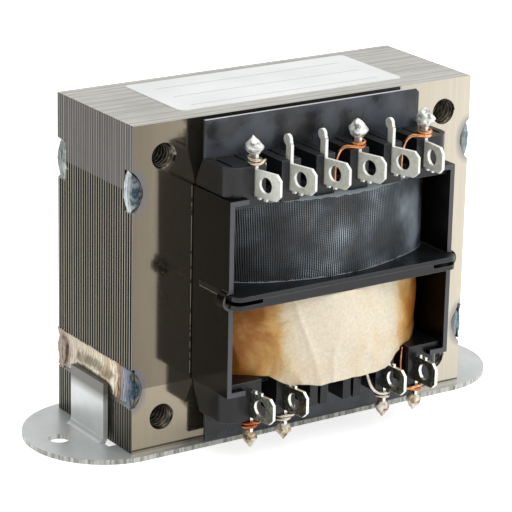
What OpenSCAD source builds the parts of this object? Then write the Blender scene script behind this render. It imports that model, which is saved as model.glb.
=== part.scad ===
// Chassis-mount laminated transformer: an interleaved E and I core on a base
// plate, two moulded bobbins with flat solder terminals, and a split winding.

/* [Core] */
// Width of the centre leg, from which the E and I shapes follow
tongue = 31.75; // [28:0.25:36]
// Thickness of one lamination
lam_t = 0.545; // [0.5:0.005:0.6]
// Number of laminations of each direction in the stack
lam_pairs = 32; // [28:1:36]
// Diameter of the four holes through the core
core_hole_d = 6.4; // [5:0.1:7.5]
// Distance of each core hole from the two edges beside it
core_hole_in = 8; // [7:0.25:9]
// How far every second lamination sits in at the sides
lam_step = 0.15; // [0.05:0.05:0.3]

/* [Welds] */
// Height of the hollow that each weld fills in the core's side
weld_h = 10; // [7:0.5:12]
// Depth of that hollow
weld_deep = 2.4; // [1.5:0.1:3]
// Length of the short welds at the corners of the upper joint
weld_len = 3.3; // [2.2:0.1:5]
// How far the short welds stay below the core's side
weld_sink = 0.6; // [0.3:0.1:1]
// How far a weld stands out of the core's front and back
weld_cap = 0.4; // [0.2:0.1:0.8]
// How far the long welds stand out of the core's side
weld_out = 1.5; // [1:0.1:2]
// Height of the part of a long weld that stands out
weld_bar_h = 5.4; // [4:0.2:6]

/* [Base plate] */
// Length of the base plate over its round ends
plate_l = 129; // [126:0.5:136]
// Width of the base plate
plate_w = 39.4; // [36:0.2:46]
// Thickness of the base plate's sheet
plate_t = 1.2; // [1:0.1:1.6]
// Distance between the two mounting holes
base_hole_span = 114.3; // [110:0.1:118]
// Diameter of the mounting holes
base_hole_d = 5.2; // [4.2:0.1:6]
// Width of the two tabs bent up from the plate
tab_w = 15.4; // [12:0.2:20]
// Height of the tabs above the plate
tab_h = 14.8; // [10:0.2:15]
// Gap between a tab and the side of the core
tab_gap = 0.8; // [0.3:0.1:1.2]
// Radius inside the bend of a tab
tab_bend_r = 1.5; // [1:0.1:2.5]
// Width of the relief cut at each side of a tab
relief_w = 2.6; // [1:0.2:4]

/* [Bobbins] */
// Wall of the tube around the centre leg
tube_t = 1.2; // [0.8:0.1:1.6]
// Thickness of each flange at the middle
mid_flange_t = 1.1; // [0.8:0.1:1.4]
// Gap between the two flanges at the middle
mid_gap = 1; // [0.8:0.1:1.4]
// How far the middle flanges reach past the ends of the shrouds
mid_reach = 3; // [2:0.2:4]
// Corner radius of the middle flanges
mid_r = 2.4; // [1:0.2:2.6]
// Thickness of the thin part of each end flange
end_flange_t = 1.2; // [1:0.1:1.6]
// How far the end flanges and terminal posts reach out of the core
end_reach = 14.3; // [13:0.1:15]

/* [Terminal posts] */
// Distance from one terminal place to the next
pitch = 9.525; // [9:0.025:10]
// Width of the post at each side of a terminal
post_w = 2.1; // [1.8:0.1:2.6]
// Height of the posts above the end flange
post_h = 7.2; // [6:0.1:8]
// Depth of the notch in the flange edge where a wire comes out
wire_notch = 4; // [3:0.2:6]
// Corner radius at the outer end of each row of posts
row_end_r = 3.5; // [1:0.1:3.8]
// Width of the foot under each end of a row
row_foot_w = 2.1; // [1.6:0.1:2.4]
// Width of the slot in the top of each row end
end_slot_w = 0.9; // [0.6:0.1:1.2]

/* [Shrouds] */
// Thickness of the shroud sheets along the outer legs
shroud_t = 1.2; // [0.8:0.1:1.4]
// Length of the shrouds past the core at each end
shroud_out = 15.8; // [15:0.1:17]
// How far the ears around the flange corners stand out of a shroud's side
ear_out = 1.6; // [1.2:0.1:2.2]
// Wall of an ear
ear_wall = 0.5; // [0.4:0.1:0.8]
// Length of the ear along the shroud
ear_len = 3; // [2:0.2:5]

/* [Cards] */
// Thickness of the insulation cards
card_t = 0.8; // [0.5:0.1:1]
// Distance from the core's face to the cards
card_off = 3.3; // [2.5:0.1:4]
// Width of the cards
card_w = 60; // [58:0.1:60]
// How far the top card sits to the left of the middle
card_shift = 1.1; // [0:0.1:1.1]
// How far the top card stands above the core
card_over = 0.2; // [0:0.1:1]
// Height of the lower card's edge above the base plate
card_lift = 1.1; // [0.4:0.1:2]

/* [Windings] */
// Radius of the bulged front and back of the upper winding
top_arc_r = 50; // [46:1:56]
// How far the upper winding bulges out of the core
top_reach = 16.5; // [15.5:0.1:17.5]
// Radius of the bulged front and back of the lower winding
low_arc_r = 38; // [36:1:44]
// How far the lower winding bulges out of the core
low_reach = 18.6; // [17:0.1:18.6]
// Thickness of the tape and paper around the windings
wrap_t = 0.6; // [0.4:0.1:1]

/* [Terminals] */
// Thickness of the terminal strip
term_t = 0.8; // [0.6:0.1:1]
// Height of the flat lug
lug_h = 6.3; // [5.6:0.1:6.4]
// Length of the lug in front of the posts
lug_l = 7.4; // [7:0.1:9]
// Diameter of the hole in the lug
lug_hole_d = 3.8; // [3:0.1:4.2]
// Distance from the lug's tip to its hole
lug_hole_in = 4.4; // [3.8:0.1:5]
// Size of the chamfers at the lug's tip
lug_chamfer = 1.3; // [0.6:0.1:1.8]
// Width of the tail that the wire is soldered to
tail_w = 2; // [1.6:0.1:2.4]
// Length of a soldered tail past the lug
tail_l = 5.4; // [4.6:0.1:6]
// Length of a free tail past the lug, up to its round end
free_tail_l = 4.4; // [3.6:0.1:5.4]
// Diameter of the round end of a free tail
tail_head_d = 2.6; // [2:0.1:3]
// Diameter of the lead-out wires
wire_d = 0.8; // [0.5:0.1:1]
// Diameter of the solder on a tail
solder_d = 3.9; // [3.2:0.1:4.4]
// Height of the solder on a tail
solder_h = 4.8; // [4:0.1:5.4]

/* [Label] */
// Length of the label
label_l = 63; // [40:1:80]
// Width of the label
label_w = 25.8; // [18:0.2:30]
// Corner radius of the label
label_r = 1.5; // [0.5:0.1:3]
// Thickness of the label
label_t = 0.12; // [0.1:0.01:0.2]
// Distance of the label behind the middle of the core
label_back = 1.4; // [0:0.1:3]

/* [Hidden] */
$fn = 96;
eps = 0.01;

// Clearances
fit = 0.15;
slip = 0.1;

// Core, after the usual E and I proportions
core_w = 3 * tongue;
core_h = 2.5 * tongue;
yoke = tongue / 2;
leg_h = 1.5 * tongue;
stack = 2 * lam_pairs * lam_t;
face_y = stack / 2;
core_z = plate_t;
mid_z = core_z + core_h / 2;
joint_low_z = core_z + yoke;
joint_high_z = core_z + yoke + leg_h;
hollow_r = (pow(weld_h / 2, 2) + pow(weld_deep, 2)) / (2 * weld_deep);
hollow_x = core_w / 2 + hollow_r - weld_deep;
weld_dome_r = 1.2 * weld_h;
weld_layers = ceil(weld_len / lam_t);

// Shrouds
shroud_x = tongue - fit;
shroud_h = leg_h / 2 - fit;
shroud_y = face_y + shroud_out;
ear_bore_r = mid_gap / 2 + mid_flange_t + 0.2;
ear_r = ear_bore_r + ear_wall;
ear_x = shroud_x + ear_out - ear_r;

// Terminal places in each row, and the end of a row past its last place
places = 6;
slot_w = term_t + 2 * 0.05;
base_x = place_x(places) + slot_w / 2 + row_foot_w;
return_w = shroud_x - 0.2 - base_x;

// Bobbins, measured from the middle of the window
inner_x = shroud_x - shroud_t - 0.2;
tube_x = tongue / 2 + 0.25;
tube_y = face_y + 0.25;
mid_lo = mid_gap / 2;
mid_hi = mid_lo + mid_flange_t;
mid_corner = min(mid_r, mid_reach - 0.4);
end_hi = shroud_h;
end_mid = shroud_h - shroud_t - slip;
end_lo = end_mid - end_flange_t;
post_y = face_y + end_reach;
post_top = end_hi + post_h;
row_end_x = shroud_x - 0.5;
gap_w = pitch - 2 * post_w - slot_w;
lip_half = inner_x - 6;

// Cards
card_y = face_y + card_off;
post_back_y = card_y + card_t + slip;
end_wall_t = 0.9;

// Windings
coil_x = inner_x;
coil_top_y = face_y + top_reach;
coil_low_y = face_y + low_reach;
coil_lo = mid_hi + slip;
coil_hi = end_lo - slip;

// Base plate
tab_x = core_w / 2 + tab_gap;
tab_top = plate_t + tab_h;
bend_x = tab_x + plate_t + tab_bend_r;
bend_z = plate_t + tab_bend_r;
tab_flat = tab_top - bend_z + PI / 2 * (tab_bend_r + plate_t / 2);
plate_r = plate_w / 2;

// Terminals
lug_z = end_hi + 0.1 + lug_h / 2;
lug_root = 0.3;
blade_l = 6.8;
wire_r = wire_d / 2;
turn_r = norm([tail_w / 2, term_t / 2]) + wire_r + 0.05;
turn_z = max(lug_z + lug_h / 2 + wire_d, post_top + wire_r) + 0.1;
turn_rise = wire_d + 0.06;
turns = 1.5;
solder_z = turn_z + turns * turn_rise + wire_r + 0.1;
tail_0 = -lug_root + 0.1;
tail_y = -post_y + tail_0 + tail_w / 2;
near_post = slot_w / 2 + post_w + wire_r + 0.25;
mid_notch = pitch / 2 + 0.6;
// Angle at which each lug stands, as hand-set terminals do
turn_top = [14, 14, 13, 17, 18, -4];
turn_low = [10, 8, 0, 0, 4, 1];

function place_x(n) = (n - (places + 1) / 2) * pitch;
function gap_x(n) = (n - places / 2) * pitch;

// ---------- helpers ----------

// A shape drawn in X and Z, made solid from y0 to y1
module along_y(y0, y1) {
    translate([0, y1, 0])
        rotate([90, 0, 0])
            linear_extrude(y1 - y0)
                children();
}

// A shape drawn in Y and Z, made solid from x0 to x1
module along_x(x0, x1) {
    translate([x0, 0, 0])
        rotate([90, 0, 90])
            linear_extrude(x1 - x0)
                children();
}

module box2(x0, x1, y0, y1) {
    translate([x0, y0])
        square([x1 - x0, y1 - y0]);
}

module box3(x0, x1, y0, y1, z0, z1) {
    translate([x0, y0, z0])
        cube([x1 - x0, y1 - y0, z1 - z0]);
}

module both_sides() {
    children();
    mirror([1, 0, 0])
        children();
}

module both_faces() {
    children();
    mirror([0, 1, 0])
        children();
}

// A plain rectangle with four round corners
module round_rect(l, w, r) {
    box2(-l / 2 + r, l / 2 - r, -w / 2, w / 2);
    box2(-l / 2, l / 2, -w / 2 + r, w / 2 - r);
    for (sx = [-1, 1], sy = [-1, 1])
        translate([sx * (l / 2 - r), sy * (w / 2 - r)])
            circle(r);
}

// ---------- core ----------

// Holes and weld hollows, cut from every lamination
module core_cuts(low, high) {
    for (sx = [-1, 1], z = [core_hole_in, core_h - core_hole_in])
        translate([sx * (core_w / 2 - core_hole_in), core_z + z])
            circle(core_hole_d / 2);
    for (sx = [-1, 1]) {
        if (low)
            translate([sx * hollow_x, joint_low_z])
                circle(hollow_r);
        if (high)
            translate([sx * hollow_x, joint_high_z])
                circle(hollow_r);
    }
}

// An E with its yoke at the bottom
module e_shape(side) {
    difference() {
        box2(-side, side, core_z, core_z + yoke + leg_h);
        for (sx = [-1, 1])
            translate([sx * 0.75 * tongue, core_z + yoke + leg_h / 2 + 1])
                square([yoke, leg_h + 2], center = true);
    }
}

module flip_core() {
    translate([0, 2 * mid_z])
        mirror([0, 1])
            children();
}

// Layer k is full width when even, and sits in a little when odd
function layer_y(k) = -face_y + k * lam_t;
function at_corner(k) = k < weld_layers || k >= 2 * lam_pairs - weld_layers;

module layer(k) {
    along_y(layer_y(k), layer_y(k) + lam_t)
        difference() {
            children();
            core_cuts(true, at_corner(k));
        }
}

// The front lamination has its yoke at the top and its I at the bottom
module e_laminations_yoke_up() {
    color("#8f8470")
        for (p = [0:lam_pairs - 1])
            layer(2 * p)
                flip_core()
                    e_shape(core_w / 2);
}

module e_laminations_yoke_down() {
    color("#5f5a50")
        for (p = [0:lam_pairs - 1])
            layer(2 * p + 1)
                e_shape(core_w / 2 - lam_step);
}

module i_laminations_bottom() {
    color("#a39780")
        for (p = [0:lam_pairs - 1])
            layer(2 * p)
                box2(-core_w / 2, core_w / 2, core_z, core_z + yoke);
}

module i_laminations_top() {
    color("#a9a594")
        for (p = [0:lam_pairs - 1])
            layer(2 * p + 1)
                box2(-core_w / 2, core_w / 2, core_z + yoke + leg_h, core_z + core_h);
}

// ---------- welds ----------

// The slightly domed face of the metal in a hollow
module weld_dome(z) {
    translate([core_w / 2 - weld_sink - weld_dome_r, z])
        circle(weld_dome_r, $fn = 360);
}

module corner_weld() {
    along_y(-face_y - weld_cap, -face_y + weld_layers * lam_t)
        intersection() {
            translate([hollow_x, joint_high_z])
                circle(hollow_r, $fn = 240);
            weld_dome(joint_high_z);
        }
}

module corner_welds() {
    color("#8b979c")
        both_sides()
            both_faces()
                corner_weld();
}

// The long weld fills its hollow, and stands out where it catches the tab
module long_weld() {
    bar_r = (pow(weld_bar_h / 2, 2) + pow(weld_out, 2)) / (2 * weld_out);
    bar_z = tab_top + weld_bar_h / 2 - 1;
    along_y(-face_y - weld_cap, face_y + weld_cap)
        intersection() {
            translate([hollow_x, joint_low_z])
                circle(hollow_r, $fn = 240);
            weld_dome(joint_low_z);
        }
    along_y(-tab_w / 2 - 0.5, tab_w / 2 + 0.5)
        intersection() {
            translate([core_w / 2 + weld_out - bar_r, bar_z])
                circle(bar_r, $fn = 240);
            box2(core_w / 2 - weld_deep / 2, core_w, tab_top, core_h);
            union() {
                translate([hollow_x, joint_low_z])
                    circle(hollow_r, $fn = 240);
                box2(core_w / 2, core_w, 0, core_h);
            }
        }
}

module long_weld_right() {
    color("#b9b3a2")
        long_weld();
}

module long_weld_left() {
    color("#b9b3a2")
        mirror([1, 0, 0])
            long_weld();
}

// ---------- base plate ----------

module plate_outline() {
    box2(-plate_l / 2 + plate_r, plate_l / 2 - plate_r, -plate_r, plate_r);
    for (sx = [-1, 1])
        translate([sx * (plate_l / 2 - plate_r), 0])
            circle(plate_r, $fn = 128);
}

// The side section of a tab and its bend
module tab_section() {
    box2(tab_x, tab_x + plate_t, bend_z, tab_top);
    intersection() {
        difference() {
            translate([bend_x, bend_z])
                circle(tab_bend_r + plate_t);
            translate([bend_x, bend_z])
                circle(tab_bend_r);
        }
        box2(tab_x, bend_x, 0, bend_z);
    }
}

module base_plate() {
    color("#bcc1c2") {
        linear_extrude(plate_t)
            difference() {
                plate_outline();
                for (sx = [-1, 1])
                    translate([sx * base_hole_span / 2, 0])
                        circle(base_hole_d / 2);
                both_sides() {
                    box2(bend_x - tab_flat, bend_x, -tab_w / 2, tab_w / 2);
                    for (sy = [-1, 1])
                        translate([tab_x - 0.6, sy * (tab_w + relief_w) / 2])
                            square([3.6, relief_w + eps], center = true);
                }
            }
        both_sides()
            along_y(-tab_w / 2, tab_w / 2)
                tab_section();
    }
}

// ---------- bobbins ----------

// Outline of a middle flange, seen from above
module mid_outline(tongues) {
    y_end = shroud_y + mid_reach;
    box2(-inner_x, inner_x, -shroud_y, shroud_y);
    both_faces() {
        box2(-shroud_x, shroud_x, shroud_y + 0.2, y_end - mid_corner);
        box2(-shroud_x + mid_corner, shroud_x - mid_corner, shroud_y - 1, y_end);
        for (sx = [-1, 1])
            translate([sx * (shroud_x - mid_corner), y_end - mid_corner])
                circle(mid_corner);
        if (tongues)
            box2(-shroud_x + slip, shroud_x - slip, card_y, shroud_y - 0.3);
    }
}

// The two posts that hold one terminal between them
module post_pair(n) {
    for (s = [-1, 1])
        translate([place_x(n) + s * (slot_w + post_w) / 2, -(post_y + post_back_y) / 2, end_hi - eps])
            linear_extrude(post_h + eps)
                square([post_w, post_y - post_back_y], center = true);
}

// The wide rounded block at the right-hand end of a row
module row_end() {
    x0 = place_x(places) + slot_w / 2;
    x1 = row_end_x;
    difference() {
        union() {
            translate([0, 0, end_hi + slip])
                linear_extrude(post_h - slip) {
                    box2(x0, x1 - row_end_r, -post_y, -post_back_y);
                    box2(x0, x1, -post_y + row_end_r, -post_back_y);
                    box2(x1 - end_wall_t, x1, -post_back_y - eps, -card_y);
                    intersection() {
                        box2(x0, x1 + 1, -post_y - 1, -post_back_y);
                        translate([x1 - row_end_r, -post_y + row_end_r])
                            circle(row_end_r);
                    }
                }
            box3(x0, base_x, -post_y, -post_back_y, end_hi - eps, end_hi + 1);
            // gusset behind the card, sloped down to the core's face
            along_x(x1 - end_wall_t, x1)
                polygon([
                    [-card_y - eps, end_hi + slip],
                    [-face_y - 0.3, end_hi + slip],
                    [-face_y - 0.3, end_hi + 1.2],
                    [-card_y, post_top],
                    [-card_y - eps, post_top]
                ]);
        }
        box3(x1 - 2.4, x1 - 2.4 + end_slot_w, -post_y + 2, -post_back_y - 0.8, post_top - 4, post_top + 1);
    }
}

// One bobbin, from the middle of the window outwards
module bobbin(upper) {
    // tube around the centre leg
    difference() {
        box3(-tube_x - tube_t, tube_x + tube_t, -tube_y - tube_t, tube_y + tube_t, 0, end_hi);
        box3(-tube_x, tube_x, -tube_y, tube_y, -1, end_hi + 1);
    }
    // flange at the middle
    difference() {
        translate([0, 0, mid_lo])
            linear_extrude(mid_flange_t)
                mid_outline(upper);
        box3(-tube_x, tube_x, -tube_y, tube_y, -1, end_hi);
    }
    // lip that closes the gap between the two flanges
    if (!upper)
        both_faces()
            box3(-lip_half, lip_half, -shroud_y - mid_reach, -shroud_y - mid_reach + 1.2, -mid_lo, mid_lo + eps);
    // flange at the end, rebated for the returns of the shrouds
    difference() {
        union() {
            box3(-inner_x, inner_x, -post_y, post_y, end_lo, end_mid);
            box3(-base_x, base_x, -post_y, post_y, end_mid - eps, end_hi);
        }
        box3(-tube_x, tube_x, -tube_y, tube_y, 0, end_hi + 1);
        for (g = [1:places - 1])
            box3(gap_x(g) - gap_w / 2, gap_x(g) + gap_w / 2, -post_y - 1, -post_y + wire_notch, end_lo - 1, end_hi + 1);
    }
    // posts for the terminals
    for (n = [2:places - 1])
        post_pair(n);
    for (sx = [-1, 1])
        translate([-sx * (slot_w + post_w) / 2 + sx * place_x(places), -(post_y + post_back_y) / 2, end_hi - eps])
            linear_extrude(post_h + eps)
                square([post_w, post_y - post_back_y], center = true);
    both_sides()
        row_end();
}

module up_from_middle() {
    translate([0, 0, mid_z])
        children();
}

module down_from_middle() {
    translate([0, 0, mid_z])
        mirror([0, 0, 1])
            children();
}

module bobbin_upper() {
    color("#26272a")
        up_from_middle()
            bobbin(true);
}

module bobbin_lower() {
    color("#2b2c30")
        down_from_middle()
            bobbin(false);
}

// ---------- shrouds ----------

// The right-hand shroud: a channel along the outer leg
module shroud() {
    difference() {
        union() {
            along_y(-shroud_y, shroud_y)
                difference() {
                    box2(shroud_x - return_w, shroud_x, -shroud_h, shroud_h);
                    box2(0, shroud_x - shroud_t, -shroud_h + shroud_t, shroud_h - shroud_t);
                }
            both_faces()
                along_y(-shroud_y, -shroud_y + ear_len)
                    intersection() {
                        translate([ear_x, 0])
                            circle(ear_r);
                        box2(shroud_x - shroud_t, shroud_x + 5, -5, 5);
                    }
        }
        both_faces() {
            // bore of the ear, open to the front
            along_y(-shroud_y - 1, -shroud_y + ear_len) {
                translate([ear_x, 0])
                    circle(ear_bore_r);
                box2(shroud_x - shroud_t - 1, ear_x, -ear_bore_r, ear_bore_r);
            }
            // slit for the side tongue of the upper flange
            box3(shroud_x - shroud_t - 1, shroud_x + 1, -shroud_y - 1, -card_y + 0.2, mid_lo - 0.15, mid_hi + 0.15);
        }
    }
}

module shroud_right() {
    color("#1d1c1c")
        up_from_middle()
            shroud();
}

module shroud_left() {
    color("#1d1c1c")
        up_from_middle()
            mirror([1, 0, 0])
                shroud();
}

// ---------- cards ----------

// A card from behind the posts out to z_far, narrowed between the row ends
module card(z_far, shift) {
    x0 = -card_w / 2 - shift;
    x1 = card_w / 2 - shift;
    x_in = row_end_x - end_wall_t - slip;
    along_y(-card_y - card_t, -card_y) {
        box2(x0, x1, post_top + slip, z_far);
        box2(max(x0, -x_in), min(x1, x_in), end_hi + 0.05, post_top + slip + eps);
    }
}

// The top card has its right-hand corner cut off
module card_top() {
    color("#41464d")
        up_from_middle()
            difference() {
                card(core_h / 2 + card_over, card_shift);
                along_y(-card_y - card_t - 1, -card_y + 1)
                    translate([card_w / 2 - card_shift, core_h / 2 + card_over])
                        rotate(45)
                            square(1.3, center = true);
            }
}

module card_bottom() {
    color("#41464d")
        down_from_middle()
            card(core_h / 2 - card_lift, 0);
}

// ---------- windings ----------

// Flat sides inside the window, bulged front and back
module coil_outline(arc_r, y, inset) {
    intersection() {
        box2(-coil_x + inset, coil_x - inset, -y, y);
        translate([0, arc_r - y])
            circle(arc_r - inset, $fn = 180);
        translate([0, y - arc_r])
            circle(arc_r - inset, $fn = 180);
    }
}

module winding(arc_r, y) {
    translate([0, 0, coil_lo])
        linear_extrude(coil_hi - coil_lo)
            difference() {
                coil_outline(arc_r, y, wrap_t);
                box2(-tube_x - tube_t - slip, tube_x + tube_t + slip, -tube_y - tube_t - slip, tube_y + tube_t + slip);
            }
}

module wrap(arc_r, y) {
    translate([0, 0, coil_lo])
        linear_extrude(coil_hi - coil_lo)
            difference() {
                coil_outline(arc_r, y, 0);
                coil_outline(arc_r, y, wrap_t);
            }
}

module winding_upper() {
    color("#b5713c")
        up_from_middle()
            winding(top_arc_r, coil_top_y);
}

module tape_upper() {
    color("#2b3036")
        up_from_middle()
            wrap(top_arc_r, coil_top_y);
}

module winding_lower() {
    color("#b5713c")
        down_from_middle()
            winding(low_arc_r, coil_low_y);
}

module wrap_lower() {
    color("#e3cda6")
        down_from_middle()
            wrap(low_arc_r, coil_low_y);
}

// ---------- terminals ----------

// The strip seen from above: straight between the posts, then turned at its root
module bent_strip(turn) {
    h = term_t / 2;
    mitre = h * tan(turn / 2);
    across = h * [cos(turn), sin(turn)];
    tip = [0, -lug_root] + lug_l * [sin(turn), -cos(turn)];
    polygon([
        [-h, blade_l],
        [-h, -lug_root - mitre],
        tip - across,
        tip + across,
        [h, -lug_root + mitre],
        [h, blade_l]
    ]);
}

// Shapes along the lug, in Y and Z from its root
module on_lug(turn) {
    translate([0, -lug_root, 0])
        rotate([0, 0, turn])
            children();
}

// One terminal, with its lug turned by a few degrees at the root
module terminal(n, turn, soldered) {
    translate([place_x(n), -post_y, lug_z]) {
        difference() {
            translate([0, 0, -lug_h / 2])
                linear_extrude(lug_h)
                    bent_strip(turn);
            on_lug(turn)
                along_x(-term_t, term_t) {
                    translate([-lug_l + lug_hole_in, 0])
                        circle(lug_hole_d / 2);
                    for (sz = [-1, 1])
                        translate([-lug_l, sz * lug_h / 2])
                            rotate(45)
                                square(sqrt(2) * lug_chamfer, center = true);
                }
        }
        // two small feet on the edge next to the flange
        on_lug(turn)
            along_x(-term_t / 2 + 0.06, term_t / 2 - 0.06)
                for (y = [-0.9, -2.9])
                    box2(y - 0.4, y + 0.4, -lug_h / 2 - 0.6, -lug_h / 2 + 0.3);
        // tail for the wire
        along_x(-term_t / 2, term_t / 2) {
            tail_z = lug_h / 2 + (soldered ? tail_l : free_tail_l);
            box2(tail_0, tail_0 + tail_w, 1, tail_z);
            if (!soldered)
                translate([tail_0 + tail_w / 2, tail_z - 0.3])
                    rotate(-32)
                        translate([-tail_w / 2, 0]) {
                            square([tail_w, 1.4]);
                            translate([tail_w / 2, 1.4])
                                circle(tail_head_d / 2);
                        }
        }
    }
}

module terminal_top(n, soldered) {
    color("#c9c9b8")
        up_from_middle()
            terminal(n, turn_top[n - 1], soldered);
}

module terminal_low(n) {
    color("#a9a796")
        down_from_middle()
            terminal(n, turn_low[n - 1], true);
}

// ---------- solder ----------

// A drop of solder over the end of a tail, which it leaves room for
module solder(n) {
    r = solder_d / 2;
    difference() {
        translate([place_x(n), tail_y, solder_z])
            rotate_extrude()
                intersection() {
                    union() {
                        translate([0, 0.9 * r])
                            circle(r * 0.98);
                        polygon([
                            [0, r],
                            [0.9 * r, 1.2 * r],
                            [0.3 * r, solder_h],
                            [0, solder_h]
                        ]);
                    }
                    box2(0, 2 * r, 0, solder_h);
                }
        translate([place_x(n), -post_y, lug_z])
            along_x(-term_t / 2, term_t / 2)
                box2(tail_0, tail_0 + tail_w, 1, lug_h / 2 + tail_l);
    }
}

module solder_top(n) {
    color("#dcdedb")
        up_from_middle()
            solder(n);
}

module solder_low(n) {
    color("#dcdedb")
        down_from_middle()
            solder(n);
}

// ---------- lead-out wires ----------

function bezier(a, b, c, d, t) =
    pow(1 - t, 3) * a + 3 * t * pow(1 - t, 2) * b + 3 * t * t * (1 - t) * c + pow(t, 3) * d;

// Up out of the winding, over to the tail, then round it
function lead_path(n, start, bend, s) =
    let (
        c = [place_x(n), tail_y, turn_z],
        q0 = start,
        q3 = c + [0, -turn_r, 0]
    )
    concat(
        [for (i = [0:11]) bezier(q0, bend, q3 - [s * 3, 0, 0], q3, i / 12)],
        [for (i = [0:18])
            let (a = -90 + s * 360 * turns * i / 18)
            c + [turn_r * cos(a), turn_r * sin(a), turn_rise * turns * i / 18]]
    );

function unit(v) = v / norm(v);
function heading(p, i) =
    unit(p[min(i + 1, len(p) - 1)] - p[max(i - 1, 0)]);

// A round wire swept along points
module wire(p, sides) {
    last = len(p) - 1;
    side_ref = [0.3, 0.8, 0.5];
    rings = [
        for (i = [0:last])
            let (
                h = heading(p, i),
                u = unit(cross(h, side_ref)),
                v = cross(h, u)
            )
            for (k = [0:sides - 1])
                p[i] + wire_r * (cos(360 * k / sides) * u + sin(360 * k / sides) * v)
    ];
    walls = [
        for (i = [0:last - 1], k = [0:sides - 1])
            let (m = (k + 1) % sides)
            each [
                [i * sides + k, i * sides + m, (i + 1) * sides + m],
                [i * sides + k, (i + 1) * sides + m, (i + 1) * sides + k]
            ]
    ];
    caps = [
        [for (k = [sides - 1:-1:0]) k],
        [for (k = [0:sides - 1]) last * sides + k]
    ];
    polyhedron(rings, concat(walls, caps));
}

// A wire that comes up through the notch beside place n, at x_off from the place
module lead(n, s, x_off) {
    start = [place_x(n) - s * x_off, -post_y + wire_notch / 2, coil_hi + 0.1 + wire_r];
    bend = [start[0] - s * 0.6, start[1] + 0.6, turn_z + 3.4];
    wire(lead_path(n, start, bend, s), 8);
}

// The wire that runs down in front of the posts
module front_lead(n, s) {
    start = [place_x(n) - s * 0.78 * pitch, -(post_y + coil_low_y) / 2, coil_hi + 0.1 + wire_r];
    bend = [start[0] + s * 0.6, start[1] - 0.6, coil_hi + 7];
    wire(lead_path(n, start, bend, s), 8);
}

module lead_top(n, s, x_off) {
    color("#b9713c")
        up_from_middle()
            lead(n, s, x_off);
}

module lead_low(n, s, x_off) {
    color("#b9713c")
        down_from_middle()
            lead(n, s, x_off);
}

module lead_low_front(n, s) {
    color("#d0a184")
        down_from_middle()
            front_lead(n, s);
}

// ---------- label ----------

module label() {
    color("#f2f3f1")
        translate([0, label_back, core_z + core_h])
            linear_extrude(label_t)
                round_rect(label_l, label_w, label_r);
}

// ---------- parts ----------

e_laminations_yoke_down();
e_laminations_yoke_up();
i_laminations_top();
i_laminations_bottom();
base_plate();
long_weld_left();
long_weld_right();
corner_welds();
bobbin_upper();
bobbin_lower();
shroud_left();
shroud_right();
card_top();
card_bottom();
winding_upper();
tape_upper();
winding_lower();
wrap_lower();
terminal_top(1, true);  // terminal_top_1
terminal_top(2, false);  // terminal_top_2
terminal_top(3, false);  // terminal_top_3
terminal_top(4, true);  // terminal_top_4
terminal_top(5, false);  // terminal_top_5
terminal_top(6, true);  // terminal_top_6
terminal_low(1);  // terminal_low_1
terminal_low(2);  // terminal_low_2
terminal_low(5);  // terminal_low_5
terminal_low(6);  // terminal_low_6
solder_top(1);  // solder_top_1
solder_top(4);  // solder_top_4
solder_top(6);  // solder_top_6
solder_low(1);  // solder_low_1
solder_low(2);  // solder_low_2
solder_low(5);  // solder_low_5
solder_low(6);  // solder_low_6
lead_top(1, -1, near_post);  // lead_top_1
lead_top(4, 1, mid_notch);  // lead_top_4
lead_top(6, 1, mid_notch);  // lead_top_6
lead_low(1, -1, near_post);  // lead_low_1
lead_low(2, -1, near_post);  // lead_low_2
lead_low_front(5, 1);  // lead_low_5
lead_low(6, 1, near_post);  // lead_low_6
label();
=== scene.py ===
# %% [markdown]
# # A laminated chassis transformer
# A mains transformer is a stack of thin steel sheets with coils of wire round its middle leg. The
# shapes come from the measured model, one named node for each piece. This script gives each
# node its finish, and adds what solids are poor at: wrinkled tape and paper, weld metal, solder
# and threads.

# %% Load the frame
import math
from functools import partial

import bpy
import numpy as np
from mathutils import Matrix, Vector, noise


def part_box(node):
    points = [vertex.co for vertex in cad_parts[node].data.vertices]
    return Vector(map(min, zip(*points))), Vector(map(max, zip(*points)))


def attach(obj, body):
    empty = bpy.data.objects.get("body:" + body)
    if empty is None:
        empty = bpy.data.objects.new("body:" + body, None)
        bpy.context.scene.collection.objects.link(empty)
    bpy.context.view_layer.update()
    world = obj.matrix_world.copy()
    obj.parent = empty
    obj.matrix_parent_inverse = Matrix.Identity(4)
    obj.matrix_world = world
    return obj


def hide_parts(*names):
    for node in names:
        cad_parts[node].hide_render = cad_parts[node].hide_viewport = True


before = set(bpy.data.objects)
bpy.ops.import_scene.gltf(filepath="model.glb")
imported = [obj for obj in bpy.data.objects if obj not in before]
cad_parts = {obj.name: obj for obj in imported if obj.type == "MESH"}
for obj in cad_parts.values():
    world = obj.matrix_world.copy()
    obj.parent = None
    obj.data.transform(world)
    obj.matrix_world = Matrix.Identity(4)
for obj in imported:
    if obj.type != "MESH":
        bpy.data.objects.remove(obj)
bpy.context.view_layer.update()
MM = 0.001

# %% [markdown]
# ## Camera
# The lens is long, about 187 mm, and stands 0.65 m away, so the core's edges converge only a
# little. The camera is set by a target, two angles and a distance, and rolled by one degree.

# %% Camera
TARGET = Vector((-2.35, 0, 37.6)) * MM
AZIMUTH, ELEVATION, ROLL = (math.radians(a) for a in (-33.637, 18.317, 1.211))
DISTANCE = 647 * MM

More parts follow.
